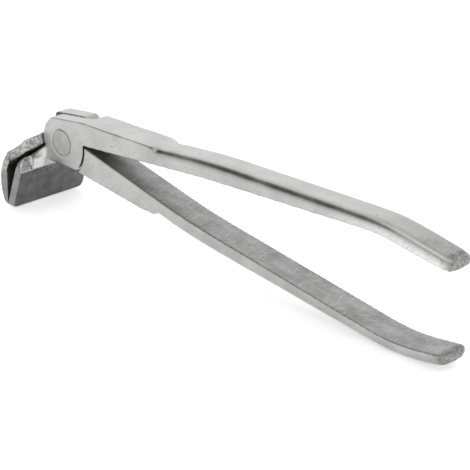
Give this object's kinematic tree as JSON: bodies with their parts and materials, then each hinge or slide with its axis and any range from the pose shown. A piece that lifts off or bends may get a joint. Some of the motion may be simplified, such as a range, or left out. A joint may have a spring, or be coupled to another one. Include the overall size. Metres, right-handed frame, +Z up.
{
  "type": "hoof nipper",
  "caption": "Polished steel hoof nipper with long bowed handles, a lapped and riveted joint, and wide jaws bent down to a closing edge.",
  "frame": {"origin": "under the middle of the overall box, at the level of the lowest points, the jaw tips and the lower handle's bend", "axes": "+X from the jaws to the handle ends, along the tool's length; +Y across the jaws, along the joint's axis; +Z up, from the lower handle to the upper one"},
  "size_m": [0.2932, 0.0486, 0.0622],
  "materials": {
    "arm_steel": "polished, with forged patches at the jaws' shoulders and handle ends",
    "rivet_steel": "polished flush with the joint"
  },
  "bodies": {
    "lower": {"lower_arm": "arm_steel"},
    "upper": {"upper_arm": "arm_steel", "pivot_rivet": "rivet_steel"}
  },
  "joints": [
    {"name": "jaw_pivot", "type": "hinge", "parent": "lower", "child": "upper", "pos_m": [-0.1141, 0, 0.04075], "axis": [0, -1, 0], "range_deg": [0, 45]}
  ]
}
